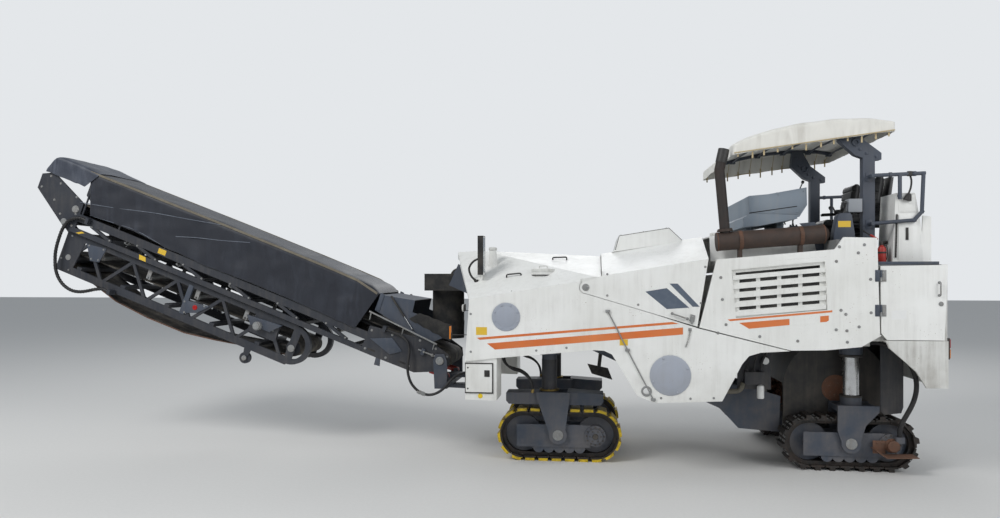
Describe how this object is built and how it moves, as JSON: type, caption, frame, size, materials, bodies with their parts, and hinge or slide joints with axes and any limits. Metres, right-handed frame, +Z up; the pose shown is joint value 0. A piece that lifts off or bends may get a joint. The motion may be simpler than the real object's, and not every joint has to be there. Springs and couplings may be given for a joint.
{
  "type": "cold planer on tracks",
  "caption": "Compact road milling machine on four tracks: milling drum between the rear legs, open platform with canopy, and a folded discharge conveyor in front.",
  "frame": {"origin": "centre of the footprint box on the ground", "axes": "+X to the machine's rear, +Y to its right side, +Z up; it travels along -X"},
  "size_m": [9.9677, 2.5, 3.545],
  "materials": {
    "white_paint": "white machine enamel, slightly weathered",
    "grey_paint": "grey anti-slip paint",
    "slate_paint": "dark slate blue enamel",
    "console_paint": "grey-blue enamel, faded",
    "black_paint": "black paint, dusty",
    "red_paint": "red enamel",
    "rusty_steel": "heat-browned steel",
    "worn_steel": "worn, rusty tool steel",
    "track_steel": "black track links and shoes",
    "rod_chrome": "hard chrome",
    "hose_rubber": "black hydraulic hose",
    "belt_rubber": "dusty black belt",
    "tarpaulin_navy": "navy coated tarpaulin",
    "tarpaulin_white": "weathered white tarpaulin",
    "dark_metal": "dark finned metal",
    "seat_vinyl": "black vinyl"
  },
  "bodies": {
    "machine": {"front_body": "white_paint", "flank_left": "white_paint", "flank_right": "white_paint", "rear_side_left": "white_paint", "rear_side_right": "white_paint", "louvre_left": "white_paint", "louvre_right": "white_paint", "rear_deck": "white_paint", "rear_tank": "white_paint", "engine": "dark_metal", "muffler": "rusty_steel", "exhaust_pipe": "rusty_steel", "storage_box_left": "white_paint", "storage_box_right": "white_paint", "platform_floor": "grey_paint", "rail": "slate_paint", "cabinet": "white_paint", "console": "console_paint", "seat": "seat_vinyl", "canopy_post": "slate_paint", "canopy": "tarpaulin_white", "ladder": "slate_paint", "deck_fittings": "white_paint", "drum_housing": "black_paint", "scraper": "slate_paint", "loading_conveyor": "slate_paint", "loading_belt": "belt_rubber", "chute": "belt_rubber", "front_guides": "slate_paint", "rear_leg_left": "slate_paint", "rear_leg_right": "slate_paint", "rear_frame_left": "slate_paint", "rear_frame_right": "slate_paint", "rear_track_left": "track_steel", "rear_track_right": "track_steel", "slew_bracket": "slate_paint", "rear_hose": "hose_rubber"},
    "hood": {"hood": "white_paint"},
    "storage_door_left": {"storage_door_left": "white_paint"},
    "storage_door_right": {"storage_door_right": "white_paint"},
    "rear_door_left": {"rear_door_left": "white_paint"},
    "rear_door_right": {"rear_door_right": "white_paint"},
    "drum": {"drum": "worn_steel"},
    "front_crawler_left": {"front_yoke_left": "slate_paint", "front_frame_left": "slate_paint", "front_track_left": "track_steel"},
    "front_crawler_right": {"front_yoke_right": "slate_paint", "front_frame_right": "slate_paint", "front_track_right": "track_steel"},
    "turntable": {"turntable": "slate_paint", "front_hose": "hose_rubber"},
    "conveyor": {"boom_frame": "slate_paint", "boom_cover": "tarpaulin_navy", "boom_belt": "belt_rubber", "boom_tail": "slate_paint", "head_hose": "hose_rubber"},
    "folding_section": {"fold_frame": "slate_paint", "fold_belt": "belt_rubber"},
    "lift_barrels": {"lift_barrels": "red_paint"},
    "lift_rods": {"lift_rods": "rod_chrome"}
  },
  "joints": [
    {"name": "hood_tilt", "type": "hinge", "parent": "machine", "child": "hood", "pos_m": [1.56371, 0, 1.87], "axis": [0, -1, 0], "range_deg": [0, 45]},
    {"name": "storage_door_left_swing", "type": "hinge", "parent": "machine", "child": "storage_door_left", "pos_m": [0.36171, -1.252, 0.94], "axis": [0, 0, -1], "range_deg": [0, 110]},
    {"name": "storage_door_right_swing", "type": "hinge", "parent": "machine", "child": "storage_door_right", "pos_m": [0.36171, 1.252, 0.94], "axis": [0, 0, 1], "range_deg": [0, 110]},
    {"name": "rear_door_left_swing", "type": "hinge", "parent": "machine", "child": "rear_door_left", "pos_m": [4.32771, -1.252, 1.73], "axis": [0, 0, -1], "range_deg": [0, 110]},
    {"name": "rear_door_right_swing", "type": "hinge", "parent": "machine", "child": "rear_door_right", "pos_m": [4.32771, 1.252, 1.73], "axis": [0, 0, 1], "range_deg": [0, 110]},
    {"name": "drum_spin", "type": "hinge", "parent": "machine", "child": "drum", "pos_m": [4.17371, 0, 0.8], "axis": [0, 1, 0], "continuous": true},
    {"name": "steer_left", "type": "hinge", "parent": "machine", "child": "front_crawler_left", "pos_m": [1.16371, -0.535, 1], "axis": [0, 0, 1], "range_deg": [-20, 20]},
    {"name": "steer_right", "type": "hinge", "parent": "machine", "child": "front_crawler_right", "pos_m": [1.16371, 0.535, 1], "axis": [0, 0, 1], "range_deg": [-20, 20]},
    {"name": "conveyor_slew", "type": "hinge", "parent": "machine", "child": "turntable", "pos_m": [-0.05629, 0, 0.765], "axis": [0, 0, 1], "range_deg": [-40, 40], "deforming": ["front_hose"]},
    {"name": "conveyor_lift", "type": "hinge", "parent": "turntable", "child": "conveyor", "pos_m": [-0.05629, 0, 1.04], "axis": [0, 1, 0], "range_deg": [-15, 7]},
    {"name": "conveyor_fold", "type": "hinge", "parent": "conveyor", "child": "folding_section", "pos_m": [-4.63954, 0, 2.63538], "axis": [0, 1, 0], "range_deg": [0, 180], "deforming": ["head_hose"]},
    {"name": "lift_barrels_turn", "type": "hinge", "parent": "turntable", "child": "lift_barrels", "pos_m": [-0.01629, 0, 0.85], "axis": [0, 1, 0], "range_deg": [-11.4, 5.4]},
    {"name": "lift_rods_slide", "type": "slide", "parent": "lift_barrels", "child": "lift_rods", "axis": [-0.9573, 0, 0.2892], "range_m": [-0.046, 0.022]}
  ],
  "couplings": [
    {"joint": "steer_right", "follows": "steer_left", "ratio": 1},
    {"joint": "lift_barrels_turn", "follows": "conveyor_lift", "ratio": 0.7589},
    {"joint": "lift_rods_slide", "follows": "conveyor_lift", "m_per_rad": 0.1745}
  ]
}
